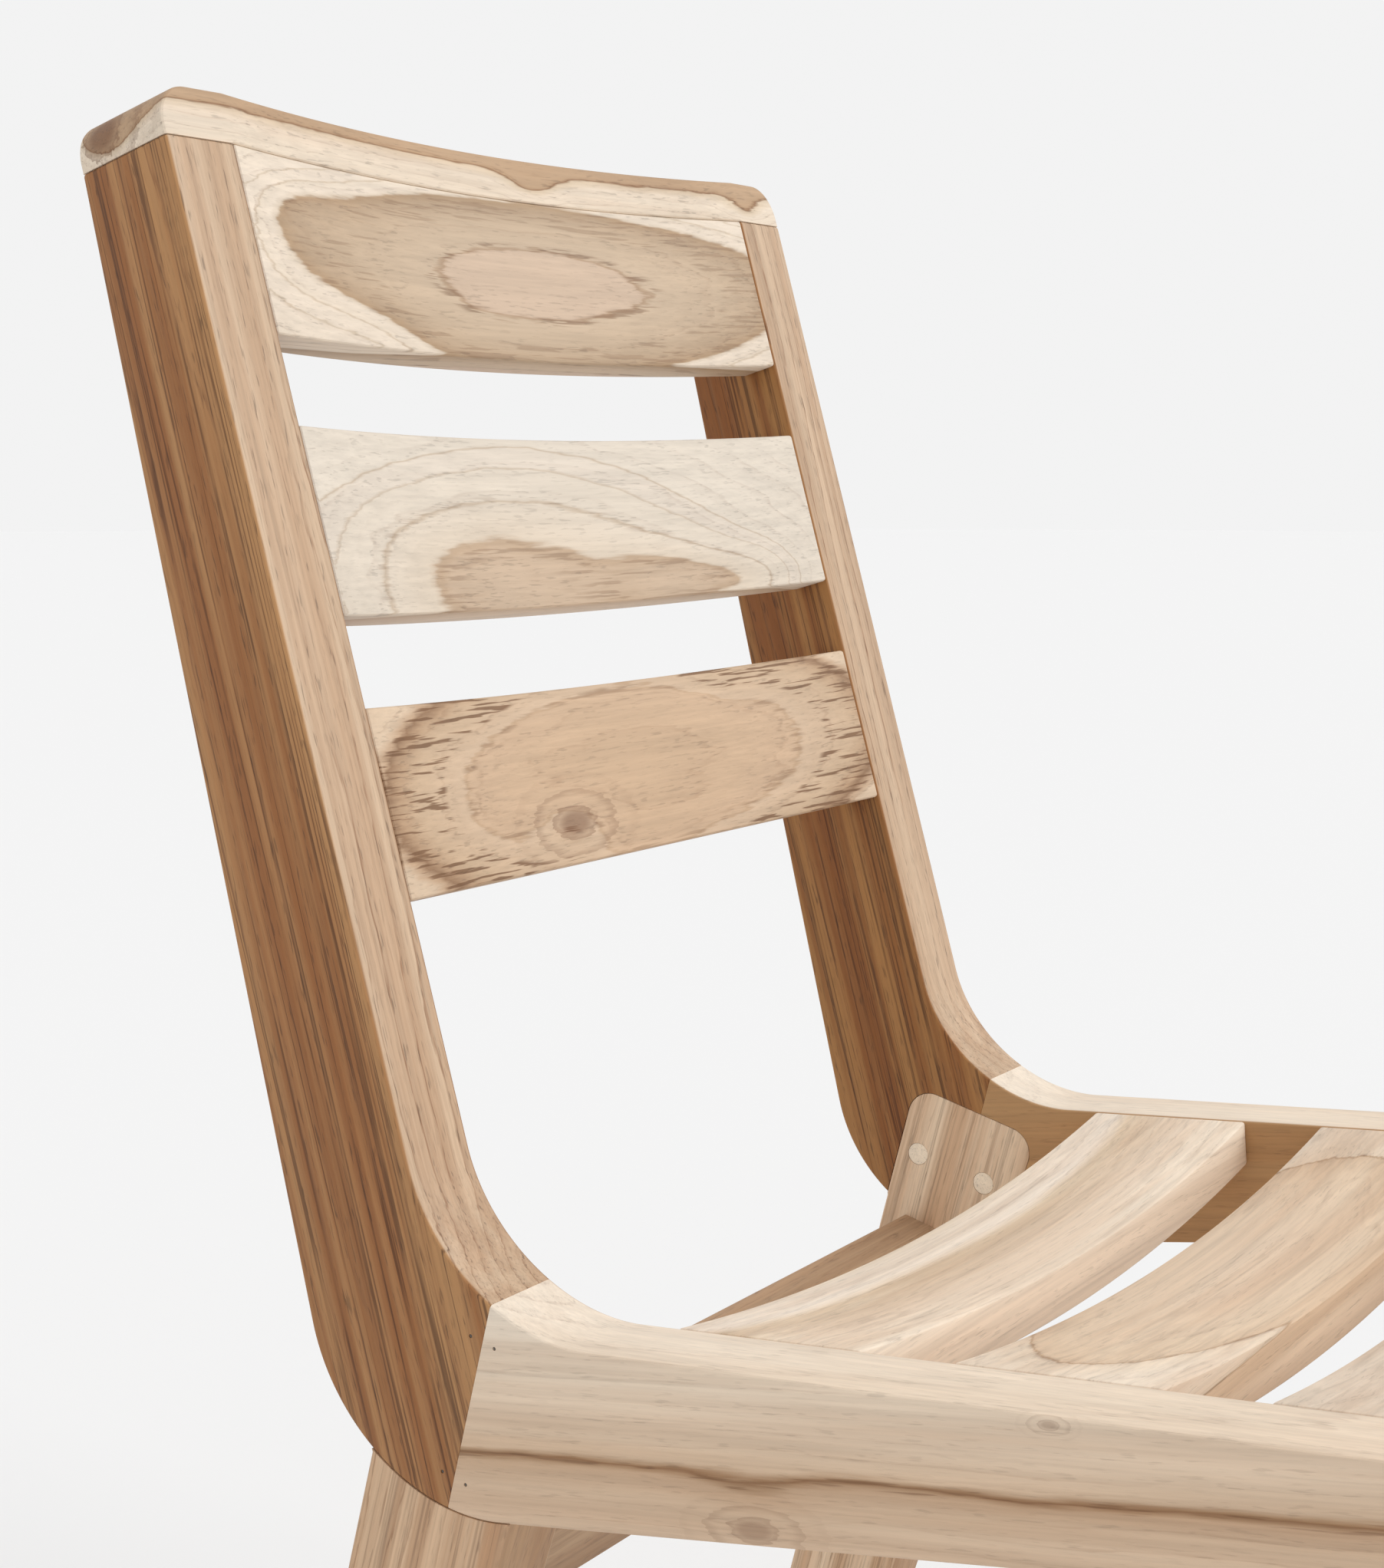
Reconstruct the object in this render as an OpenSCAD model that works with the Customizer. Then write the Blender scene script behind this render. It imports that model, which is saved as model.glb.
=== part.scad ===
// Solid-wood side chair: two L-shaped side frames, a bowed slatted back and a dished slatted seat.
// X runs across the chair (+X is the sitter's left), -Y is the front, +Z is up. Millimetres.
// The origin is on the floor, under the middle of the chair's bounding box.

/* [Overall] */
// Width over the two side frames
chair_w = 480; // [400:5:620]
// Thickness of the side-frame and leg timber
timber_t = 40; // [34:1:48]
// Height of the inner knee corner, where the seat line meets the back line
knee_h = 405; // [340:5:480]
// Lean of the back, from upright
recline = 16; // [10:0.5:22]
// Rise of the seat towards the front
seat_tilt = 4.6; // [0:0.2:8]

/* [Side frames] */
// Length of the stile along its front edge
stile_len = 495; // [420:1:620]
// Depth of the stile at its top
stile_top_d = 50; // [40:1:60]
// Depth of the stile at the knee
stile_knee_d = 71; // [62:1:80]
// Length of the seat rail along its top edge
rail_len = 408; // [350:1:500]
// Depth of the seat rail at its front end
rail_front_d = 44; // [40:1:60]
// Depth of the seat rail at the knee
rail_knee_d = 76.5; // [68:0.5:84]
// Radius of the hollow curve inside the knee
knee_in_r = 83; // [60:1:95]
// Radius of the round curve outside the knee
knee_out_r = 86; // [60:1:95]
// Tilt of the mitre between stile and rail, from upright
mitre_tilt = 14.3; // [8:0.1:20]
// How far in front of the knee corner the mitre crosses the seat line
mitre_fwd = 18; // [12:1:26]

/* [Slats] */
// Width of each slat
slat_w = 82; // [60:1:84]
// Spacing of the slats
slat_pitch = 121; // [100:1:122]
// Thickness of the back slats
back_slat_t = 20; // [18:1:26]
// Depth of the hollow in the back
back_bow = 16; // [0.5:0.5:24]
// Thickness of the seat slats
seat_slat_t = 22; // [18:1:24]
// Depth of the hollow in the seat
seat_dish = 15; // [0.5:0.5:20]

/* [Crest and nose rails] */
// Thickness of the crest rail, along the stiles
crest_t = 22; // [20:1:30]
// Thickness of the nose rail, along the seat rails
nose_t = 22; // [20:1:30]
// Radius of the outer corners of both rails
cap_corner_r = 18; // [6:1:19]

/* [Rear legs] */
// Splay of the rear leg's back edge, from upright
rear_rake = 14.8; // [6:0.2:18]
// Width of the rear leg at the top of its tab
rear_leg_top_w = 75; // [70:1:80]
// Width of the rear leg at the floor
rear_leg_foot_w = 52; // [40:1:70]
// Distance of the tab's back corner behind the knee corner
rear_tab_back = 23; // [18:1:27]
// Height of the tab's back corner over the knee corner
rear_tab_rise = 6.4; // [0:0.2:10]

/* [Front legs] */
// Splay of the front leg's front edge, from upright
front_rake = 8; // [2:0.5:12]
// Width of the front leg at the top of its tab
front_leg_top_w = 66; // [62:1:74]
// Width of the front leg at the floor
front_leg_foot_w = 46; // [38:1:60]
// Distance of the tab's front corner behind the rail's front end
front_tab_setback = 26; // [16:1:34]
// Gap between the tab's top and the slat above it
front_tab_gap = 2; // [1:0.5:5]

/* [Leg joints] */
// Radius of the tab's corners
tab_r = 14; // [4:1:16]
// Open line around the let-in tab
tab_gap = 0.3; // [0.1:0.05:0.6]
// Distance of the screws below the tab's top edge, at the rear
rear_screw_drop = 36; // [30:1:44]
// Distance of the screws below the tab's top edge, at the front
front_screw_drop = 13; // [11:0.5:15]
// Distance of the outer screw from the leg's outer edge, at the rear
rear_screw_inset = 12; // [9:0.5:16]
// Distance between the two screws, at the rear
rear_screw_pitch = 41; // [30:1:46]
// Distance of the outer screw from the leg's outer edge, at the front
front_screw_inset = 15; // [9:0.5:18]
// Distance between the two screws, at the front
front_screw_pitch = 34; // [24:1:38]
// Diameter of the plugs over the screws
plug_d = 12; // [10:0.5:14]
// Depth of the plugs
plug_len = 8; // [6:0.5:9]
// Diameter of the screw shanks
screw_d = 5; // [4:0.5:6]
// Length of the screws, head included
screw_len = 25; // [20:0.5:25]

/* [Aprons] */
// Thickness of both aprons
apron_t = 20; // [18:1:26]
// Height of the rear apron
rear_apron_h = 88; // [60:1:120]
// Distance of the rear apron below the tab's top edge
rear_apron_drop = 72; // [66:1:120]
// Height of the front apron
front_apron_h = 70; // [60:1:100]
// Distance of the front apron below the tab's top edge
front_apron_drop = 30; // [29:1:80]
// Distance of both aprons in from the outer edges of the legs
apron_inset = 13; // [8:1:17]

/* [Dowels and pins] */
// Diameter of the dowels in slats, aprons, crest and nose rail
dowel_d = 8; // [6:1:10]
// Length of the dowels in slats, aprons, crest and nose rail
dowel_len = 32; // [24:1:36]
// Diameter of the dowels across the mitre
mitre_dowel_d = 10; // [8:1:12]
// Length of the dowels across the mitre
mitre_dowel_len = 54; // [40:1:64]
// Distance between the two dowels in each end of a slat
slat_dowel_pitch = 42; // [28:1:46]
// Wood left over the ends of the dowels in the crest and nose rails
cap_skin = 8; // [5:0.5:12]
// Clearance around every dowel, pin, plug and screw
fit_gap = 0.05; // [0.02:0.01:0.1]
// Room left behind the end of each dowel
dowel_end_gap = 1; // [0.5:0.5:2]
// Diameter of the pins that lock the mitre dowels
pin_d = 1.6; // [1.2:0.1:2.5]
// Length of those pins
pin_len = 16; // [15:0.5:18]

/* [Hidden] */
$fn = 64;

heartwood = "#b08a63";
palewood = "#dcc3a1";
sapwood = "#e6d5b8";
steel = "#9a9a98";

bow_fn = 720;                       // facets of the long, flat curves
knee_fn = 180;                      // facets of the knee curves
big = 2000;                         // larger than the whole chair
hair = 0.002;                       // what makes a fillet cross its edges instead of touching them
out_x = chair_w / 2;                // outer face of a side frame
in_x = out_x - timber_t;            // inner face of a side frame
half_t = timber_t / 2;              // depth of the half-lap
span = 2 * in_x;                    // clear width between the side frames
edge_share = 0.27;                  // place of the dowels across a cap or an apron, from each edge
mitre_low = -61;                    // lower mitre dowel, along the mitre from the seat line
pin_off = 6;                        // locking pins, to each side of the mitre
head_d = 2 * screw_d;               // countersunk screw head
head_len = screw_d / 2;
cap_depth = min(crest_t, nose_t) - cap_skin;    // depth of the dowel holes in the caps

// Points in the side plane, [y, z] from the knee corner.
// back_pt: s up the stile's front edge, n behind it. seat_pt: s forward along the rail's top, d below it.
function back_pt(s, n) = [s * sin(recline) + n * cos(recline), s * cos(recline) - n * sin(recline)];
function seat_pt(s, d) = [
    -s * cos(seat_tilt) - d * sin(seat_tilt), s * sin(seat_tilt) - d * cos(seat_tilt)
];
function unit(v) = v / norm(v);
function cross2(a, b) = a[0] * b[1] - a[1] * b[0];
function meet(p, u, q, v) = p + u * cross2(q - p, v) / cross2(u, v);

// Corners of the side frame's outline
knee = [0, 0];
stile_top_front = back_pt(stile_len, 0);
stile_top_back = back_pt(stile_len, stile_top_d);
stile_back_dir = unit(back_pt(0, stile_knee_d) - stile_top_back);
rail_front_top = seat_pt(rail_len, 0);
rail_front_low = seat_pt(rail_len, rail_front_d);
rail_low_dir = unit(seat_pt(0, rail_knee_d) - rail_front_low);
heel = meet(stile_top_back, stile_back_dir, rail_front_low, rail_low_dir);

// Legs: the top outer corner of each tab, and the length of the outer edge down to the floor
rear_tab = [rear_tab_back, rear_tab_rise];
front_tab = seat_pt(rail_len - front_tab_setback, seat_slat_t + front_tab_gap);
rear_leg_len = (knee_h + rear_tab[1]) / cos(rear_rake);
front_leg_len = (knee_h + front_tab[1]) / cos(front_rake);

// Radius of a board's hollow side, and how far its middle line has moved at a slat dowel
function arc_r(bow) = (in_x * in_x + bow * bow) / (2 * bow);
function bow_at_dowel(bow) = bow * (1 - pow(1 - dowel_len / 4 / in_x, 2));

// Fore and aft extent, which puts the origin in the middle of the box
front_y = min(seat_pt(rail_len + nose_t, 0)[0], seat_pt(rail_len + nose_t, rail_front_d)[0],
    front_tab[0] - front_leg_len * sin(front_rake));
back_y = max(back_pt(stile_len + crest_t, stile_top_d + back_bow)[0],
    rear_tab[0] + rear_leg_len * sin(rear_rake));
knee_y = -(front_y + back_y) / 2;

// ---- Placing ----

// Side plane to chair: the knee corner to its place over the floor
module at_knee() { translate([0, knee_y, knee_h]) children(); }

// Frame of the back: X across, Y behind the slats' front, Z up the stiles
module in_back() { at_knee() rotate([-recline, 0, 0]) children(); }

// Frame of the seat: X across, -Y forward along the rails, -Z below their top edge
module in_seat() { at_knee() rotate([-seat_tilt, 0, 0]) children(); }

// Frames of the legs: origin at the tab's top outer corner, Y towards the back, Z up the outer edge
module in_rear_leg() {
    at_knee() translate([0, rear_tab[0], rear_tab[1]]) rotate([rear_rake, 0, 0]) children();
}
module in_front_leg() {
    at_knee() translate([0, front_tab[0], front_tab[1]]) rotate([-front_rake, 0, 0]) children();
}

// Extrudes an outline in the side plane from X = a to X = b
module from_x(a, b) { translate([a, 0, 0]) rotate([90, 0, 90]) linear_extrude(b - a) children(); }

// A side-plane child on the sitter's left, or mirrored to the right
module on_side(side) { mirror([side < 0 ? 1 : 0, 0, 0]) children(); }

// A round bar along +X from x = a to x = b
module bar_x(a, b, d) { translate([a, 0, 0]) rotate([0, 90, 0]) cylinder(h = b - a, d = d); }

// ---- Outlines in the side plane ----

// The web between a corner at p, with edges along u and v, and its fillet of radius r.
// It reaches a little past both edges, and its circle is a hair large, so that it joins or cuts cleanly.
module corner_web(p, u, v, r, fn) {
    half = acos(u * v) / 2;
    reach = r / tan(half);
    inward = unit(u + v);
    c = p + inward * r / sin(half);
    past = -2 * inward;
    difference() {
        polygon([c, p + u * reach, p + u * reach + past, p + past, p + v * reach + past, p + v * reach]);
        translate(c) circle(r + hair, $fn = fn);
    }
}

// The whole L of stile and rail, with its two knee curves
module frame_outline() {
    up = unit(stile_top_front);
    ahead = unit(rail_front_top);
    difference() {
        union() {
            polygon([knee, stile_top_front, stile_top_back, heel, rail_front_low, rail_front_top]);
            corner_web(knee, up, ahead, knee_in_r, knee_fn);
        }
        corner_web(heel, -stile_back_dir, -rail_low_dir, knee_out_r, knee_fn);
    }
}

// The half-plane behind the mitre (the stile's side) or in front of it (the rail's side)
module mitre_side(stile) {
    translate([-mitre_fwd, 0]) rotate(mitre_tilt) translate([stile ? 0 : -big, -big]) square([big, 2 * big]);
}

// A tapering leg with a round-cornered tab, hanging from its top outer corner, grown by g all round
module leg_outline(top_w, foot_w, len, g) {
    taper = (top_w - foot_w) / len;
    drop = 1.2 * len;
    a = [-g, g];
    b = [top_w + g, g];
    low = [top_w + g - taper * drop, -drop];
    inward = unit(low - b);
    difference() {
        polygon([a, b, low, [-g, -drop]]);
        corner_web(a, [1, 0], [0, -1], tab_r + g, $fn);
        corner_web(b, [-1, 0], inward, tab_r + g, $fn);
    }
}

// Leg outlines in the side plane, cut level at the floor
module rear_leg_outline(g = 0) {
    intersection() {
        translate(rear_tab) rotate(rear_rake) mirror([1, 0])
            leg_outline(rear_leg_top_w, rear_leg_foot_w, rear_leg_len, g);
        translate([-big, -knee_h]) square(2 * big);
    }
}
module front_leg_outline(g = 0) {
    intersection() {
        translate(front_tab) rotate(-front_rake)
            leg_outline(front_leg_top_w, front_leg_foot_w, front_leg_len, g);
        translate([-big, -knee_h]) square(2 * big);
    }
}

// ---- Hardware, each drawn for one place and grown by g to cut its hole ----

// One dowel along X through the joint face at the origin, and its hole
module dowel_x() { bar_x(-dowel_len / 2, dowel_len / 2, dowel_d); }
module dowel_hole_x() {
    reach = dowel_len / 2 + dowel_end_gap;
    bar_x(-reach, reach, dowel_d + 2 * fit_gap);
}

// Places for slat dowels: both ends of a slat, two in each end, on the slat's own middle line
module at_slat_ends() {
    for (side = [-1, 1], edge = [-1, 1]) {
        $along = (slat_w + edge * slat_dowel_pitch) / 2;
        on_side(side) translate([in_x, 0, 0]) children();
    }
}
module at_back_slat(i) { in_back() translate([0, 0, stile_len - slat_w - i * slat_pitch]) children(); }
module at_seat_slat(i) { in_seat() translate([0, -rail_len + slat_w + i * slat_pitch, 0]) children(); }
module at_back_dowels() {
    mid = back_slat_t / 2 + bow_at_dowel(back_bow);
    for (i = [0:2]) at_back_slat(i) at_slat_ends() translate([0, mid, $along]) children();
}
module at_seat_dowels() {
    mid = seat_slat_t / 2 + bow_at_dowel(seat_dish);
    for (i = [0:2]) at_seat_slat(i) at_slat_ends() translate([0, -$along, -mid]) children();
}

// Places for apron dowels, two in each end
module at_rear_apron_dowels() {
    for (side = [-1, 1], z = [edge_share, 1 - edge_share]) in_rear_leg() on_side(side)
        translate([in_x, -apron_inset - apron_t / 2, -rear_apron_drop - z * rear_apron_h]) children();
}
module at_front_apron_dowels() {
    for (side = [-1, 1], z = [edge_share, 1 - edge_share]) in_front_leg() on_side(side)
        translate([in_x, apron_inset + apron_t / 2, -front_apron_drop - z * front_apron_h]) children();
}

// Places for the crest's and nose rail's dowels, turned so that the bar runs along the stile or rail
module at_crest_dowels() {
    for (side = [-1, 1], share = [edge_share, 1 - edge_share]) in_back() on_side(side)
        translate([out_x - half_t, share * stile_top_d, stile_len]) rotate([0, -90, 0]) children();
}
module at_nose_dowels() {
    for (side = [-1, 1], share = [edge_share, 1 - edge_share]) in_seat() on_side(side)
        translate([out_x - half_t, -rail_len, -share * rail_front_d]) rotate([0, 0, -90]) children();
}

// The dowel into a cap is set shallow, so that it doesn't come through the far face
module cap_dowel() { bar_x(cap_depth - dowel_end_gap - dowel_len, cap_depth - dowel_end_gap, dowel_d); }
module cap_dowel_hole() {
    bar_x(cap_depth - 2 * dowel_end_gap - dowel_len, cap_depth, dowel_d + 2 * fit_gap);
}

// Places for the mitre's dowels, in the outer half of the timber, and for the pins that lock them
module at_mitre(side) {
    at_knee() on_side(side) translate([out_x - half_t / 2, -mitre_fwd, 0])
        rotate([mitre_tilt, 0, 0]) children();
}
module at_mitre_dowels(side) {
    for (z = [mitre_low, 0]) at_mitre(side) translate([0, 0, z]) rotate([0, 0, 90]) children();
}
module at_mitre_pins(side) {
    for (z = [mitre_low, 0], y = [-pin_off, pin_off]) at_mitre(side) translate([half_t / 2, y, z]) children();
}
module mitre_dowel() { bar_x(-mitre_dowel_len / 2, mitre_dowel_len / 2, mitre_dowel_d); }
module mitre_dowel_hole() {
    reach = mitre_dowel_len / 2 + dowel_end_gap;
    bar_x(-reach, reach, mitre_dowel_d + 2 * fit_gap);
}
module mitre_pin() { bar_x(-pin_len, 0, pin_d); }
module mitre_pin_hole() { bar_x(-pin_len - fit_gap, 1, pin_d + 2 * fit_gap); }

// Places for the leg screws and plugs, on the inner face, pointing outwards along X
module at_rear_screws(side) {
    for (y = [rear_screw_inset, rear_screw_inset + rear_screw_pitch])
        in_rear_leg() on_side(side) translate([in_x, -y, -rear_screw_drop]) children();
}
module at_front_screws(side) {
    for (y = [front_screw_inset, front_screw_inset + front_screw_pitch])
        in_front_leg() on_side(side) translate([in_x, y, -front_screw_drop]) children();
}
module plug() { bar_x(0, plug_len, plug_d); }
module screw(g = 0) {
    translate([plug_len + g, 0, 0]) {
        rotate([0, 90, 0]) cylinder(h = head_len, d1 = head_d + 2 * g, d2 = screw_d + 2 * g);
        bar_x(head_len, screw_len + g, screw_d + 2 * g);
    }
}
module screw_hole() {
    bar_x(-1, plug_len + fit_gap, plug_d + 2 * fit_gap);
    screw(fit_gap);
}

// ---- Curved boards ----

// Section of a curved board: hollow side towards -Y, across X
module bowed_section(t, bow) {
    r = arc_r(bow);
    intersection() {
        translate([0, bow - r]) difference() {
            circle(r + t, $fn = bow_fn);
            circle(r, $fn = bow_fn);
        }
        translate([-in_x, -1]) square([span, bow + 2 * t]);
    }
}

// Plan of a cap: flat over the side frames, bowed between them, d deep
module cap_section(d, bow) {
    r = arc_r(bow);
    back_r = norm([in_x, d + r - bow]);
    difference() {
        union() {
            translate([-out_x, 0]) square([chair_w, d]);
            intersection() {
                translate([0, bow - r]) circle(back_r, $fn = bow_fn);
                translate([-in_x, d / 2]) square([span, d]);
            }
        }
        translate([0, bow - r]) circle(r, $fn = bow_fn);
    }
}

// A cap of thickness t along +Z, with its two top outer corners rounded
module cap(d, bow, t) {
    difference() {
        linear_extrude(t) cap_section(d, bow);
        for (side = [-1, 1]) on_side(side) translate([0, d + 1, 0]) rotate([90, 0, 0])
            linear_extrude(d + 2) corner_web([out_x, t], [-1, 0], [0, -1], cap_corner_r, $fn);
    }
}

// ---- Back ----

module crest_rail() {
    color(palewood) difference() {
        in_back() translate([0, 0, stile_len]) cap(stile_top_d, back_bow, crest_t);
        at_crest_dowels() cap_dowel_hole();
    }
}
module back_slat(i) {
    color(sapwood) difference() {
        at_back_slat(i) linear_extrude(slat_w) bowed_section(back_slat_t, back_bow);
        at_back_dowels() dowel_hole_x();
    }
}
module back_slat_upper() { back_slat(0); }
module back_slat_middle() { back_slat(1); }
module back_slat_lower() { back_slat(2); }

// ---- Side frames ----

module stile(side) {
    color(heartwood) difference() {
        at_knee() on_side(side) difference() {
            from_x(in_x, out_x) intersection() { frame_outline(); mitre_side(true); }
            from_x(in_x - 1, out_x - half_t) rear_leg_outline(tab_gap);
        }
        at_back_dowels() dowel_hole_x();
        at_crest_dowels() cap_dowel_hole();
        at_mitre_dowels(side) mitre_dowel_hole();
        at_mitre_pins(side) mitre_pin_hole();
        at_rear_screws(side) screw_hole();
    }
}
module seat_rail(side) {
    color(palewood) difference() {
        at_knee() on_side(side) difference() {
            from_x(in_x, out_x) intersection() { frame_outline(); mitre_side(false); }
            from_x(in_x - 1, out_x - half_t) { rear_leg_outline(tab_gap); front_leg_outline(tab_gap); }
        }
        at_seat_dowels() dowel_hole_x();
        at_nose_dowels() cap_dowel_hole();
        at_mitre_dowels(side) mitre_dowel_hole();
        at_mitre_pins(side) mitre_pin_hole();
        at_rear_screws(side) screw_hole();
        at_front_screws(side) screw_hole();
    }
}
module stile_left() { stile(1); }
module stile_right() { stile(-1); }
module seat_rail_left() { seat_rail(1); }
module seat_rail_right() { seat_rail(-1); }

// ---- Seat ----

module seat_slat(i) {
    color(sapwood) difference() {
        at_seat_slat(i) rotate([90, 0, 0]) linear_extrude(slat_w) mirror([0, 1])
            bowed_section(seat_slat_t, seat_dish);
        at_seat_dowels() dowel_hole_x();
    }
}
module seat_slat_front() { seat_slat(0); }
module seat_slat_middle() { seat_slat(1); }
module seat_slat_rear() { seat_slat(2); }
module nose_rail() {
    color(palewood) difference() {
        in_seat() translate([0, -rail_len, 0]) rotate([90, 0, 0]) mirror([0, 1, 0])
            cap(rail_front_d, seat_dish, nose_t);
        at_nose_dowels() cap_dowel_hole();
    }
}

// ---- Legs and aprons ----

// The inner half runs up into the frame as a tab, the outer half stops under the frame's curve
module rear_leg(side) {
    color(heartwood) difference() {
        at_knee() on_side(side) difference() {
            from_x(in_x, out_x) rear_leg_outline();
            from_x(out_x - half_t, out_x + 1) frame_outline();
        }
        at_rear_screws(side) screw_hole();
        at_rear_apron_dowels() dowel_hole_x();
    }
}
module front_leg(side) {
    color(heartwood) difference() {
        at_knee() on_side(side) difference() {
            from_x(in_x, out_x) front_leg_outline();
            from_x(out_x - half_t, out_x + 1) frame_outline();
        }
        at_front_screws(side) screw_hole();
        at_front_apron_dowels() dowel_hole_x();
    }
}
module rear_leg_left() { rear_leg(1); }
module rear_leg_right() { rear_leg(-1); }
module front_leg_left() { front_leg(1); }
module front_leg_right() { front_leg(-1); }

module rear_apron() {
    color(heartwood) difference() {
        in_rear_leg() translate([-in_x, -apron_inset - apron_t, -rear_apron_drop - rear_apron_h])
            cube([span, apron_t, rear_apron_h]);
        at_rear_apron_dowels() dowel_hole_x();
    }
}
module front_apron() {
    color(heartwood) difference() {
        in_front_leg() translate([-in_x, apron_inset, -front_apron_drop - front_apron_h])
            cube([span, apron_t, front_apron_h]);
        at_front_apron_dowels() dowel_hole_x();
    }
}

// ---- Dowels, pins, screws and plugs ----

module mitre_dowels() { color(palewood) for (side = [-1, 1]) at_mitre_dowels(side) mitre_dowel_pinned(); }
module mitre_dowel_pinned() {
    difference() {
        mitre_dowel();
        for (x = [-pin_off, pin_off]) translate([x, 0, 0]) rotate([0, 0, -90])
            translate([half_t / 2, 0, 0]) mitre_pin_hole();
    }
}
module mitre_pins() { color(steel) for (side = [-1, 1]) at_mitre_pins(side) mitre_pin(); }
module crest_dowels() { color(palewood) at_crest_dowels() cap_dowel(); }
module nose_dowels() { color(palewood) at_nose_dowels() cap_dowel(); }
module back_slat_dowels() { color(palewood) at_back_dowels() dowel_x(); }
module seat_slat_dowels() { color(palewood) at_seat_dowels() dowel_x(); }
module rear_apron_dowels() { color(palewood) at_rear_apron_dowels() dowel_x(); }
module front_apron_dowels() { color(palewood) at_front_apron_dowels() dowel_x(); }
module rear_leg_screws() { color(steel) for (side = [-1, 1]) at_rear_screws(side) screw(); }
module front_leg_screws() { color(steel) for (side = [-1, 1]) at_front_screws(side) screw(); }
module rear_leg_plugs() { color(sapwood) for (side = [-1, 1]) at_rear_screws(side) plug(); }
module front_leg_plugs() { color(sapwood) for (side = [-1, 1]) at_front_screws(side) plug(); }

crest_rail();
back_slat_upper();
back_slat_middle();
back_slat_lower();
stile_left();
stile_right();
seat_rail_left();
seat_rail_right();
seat_slat_rear();
seat_slat_middle();
seat_slat_front();
nose_rail();
rear_leg_left();
rear_leg_right();
front_leg_left();
front_leg_right();
rear_apron();
front_apron();
mitre_dowels();
mitre_pins();
crest_dowels();
nose_dowels();
back_slat_dowels();
seat_slat_dowels();
rear_apron_dowels();
front_apron_dowels();
rear_leg_screws();
rear_leg_plugs();
front_leg_screws();
front_leg_plugs();
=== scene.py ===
import math
import bpy
from mathutils import Matrix, Vector


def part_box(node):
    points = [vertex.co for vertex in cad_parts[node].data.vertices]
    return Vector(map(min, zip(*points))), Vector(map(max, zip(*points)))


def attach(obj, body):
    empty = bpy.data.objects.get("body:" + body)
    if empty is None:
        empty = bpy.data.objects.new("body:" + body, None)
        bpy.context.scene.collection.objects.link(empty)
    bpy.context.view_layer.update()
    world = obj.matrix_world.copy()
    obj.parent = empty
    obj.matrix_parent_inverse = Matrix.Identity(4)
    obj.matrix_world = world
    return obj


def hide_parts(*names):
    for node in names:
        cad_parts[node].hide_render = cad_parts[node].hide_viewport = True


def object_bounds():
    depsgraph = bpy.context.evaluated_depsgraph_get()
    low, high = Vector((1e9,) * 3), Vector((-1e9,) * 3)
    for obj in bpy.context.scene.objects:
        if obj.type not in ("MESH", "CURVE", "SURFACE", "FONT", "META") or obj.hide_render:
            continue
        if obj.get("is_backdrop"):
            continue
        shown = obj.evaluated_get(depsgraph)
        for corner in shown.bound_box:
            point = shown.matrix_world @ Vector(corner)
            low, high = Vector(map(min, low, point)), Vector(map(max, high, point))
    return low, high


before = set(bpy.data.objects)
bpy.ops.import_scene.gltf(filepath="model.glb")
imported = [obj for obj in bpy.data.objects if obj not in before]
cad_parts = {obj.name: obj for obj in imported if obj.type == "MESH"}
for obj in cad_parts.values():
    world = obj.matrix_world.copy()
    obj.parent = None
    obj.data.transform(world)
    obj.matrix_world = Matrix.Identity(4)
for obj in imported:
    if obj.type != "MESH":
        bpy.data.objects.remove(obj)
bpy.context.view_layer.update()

# ---- Camera ----
# The chair is seen from in front of its right-hand side frame, a little above the crest rail's
# height over the seat, close enough that the legs run out of the bottom of the view.

lean = math.radians(16)                     # back, from upright
rise = math.radians(4.6)                    # seat, towards the front
knee_z = 0.405                              # inner corner of the side frame, over the floor
stile_length = 0.495
stile_top_depth = 0.050
knee_y = (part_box("stile_left")[1].y - stile_length * math.sin(lean)
          - stile_top_depth * math.cos(lean))

look = Vector((0.83326, 0.53879, -0.12398))
bpy.ops.object.select_all(action="DESELECT")
bpy.ops.object.camera_add(
    location=(-1.0038, knee_y - 0.6102, knee_z + 0.3419),
    rotation=look.to_track_quat("-Z", "Y").to_euler())
camera = bpy.context.object
camera.data.sensor_width = 36
camera.data.lens = 58.2
bpy.context.scene.camera = camera

# ---- Studio ----
# A pale floor that runs out to a pale surround of the same brightness, one broad soft light in
# front of the chair and above it, and a weaker one behind. None of this belongs to the chair.

bpy.ops.mesh.primitive_circle_add(vertices=96, radius=30, fill_type="NGON", location=(0, 0, 0))
floor = bpy.context.object
floor.name = "studio_floor"
floor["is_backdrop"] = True
paper = bpy.data.materials.new("studio_paper")
paper.use_nodes = True
paper_shader = paper.node_tree.nodes["Principled BSDF"]
paper_shader.inputs["Base Color"].default_value = (0.84, 0.84, 0.84, 1)
paper_shader.inputs["Roughness"].default_value = 0.95
paper_shader.inputs["Specular IOR Level"].default_value = 0.1
floor.data.materials.append(paper)

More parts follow.
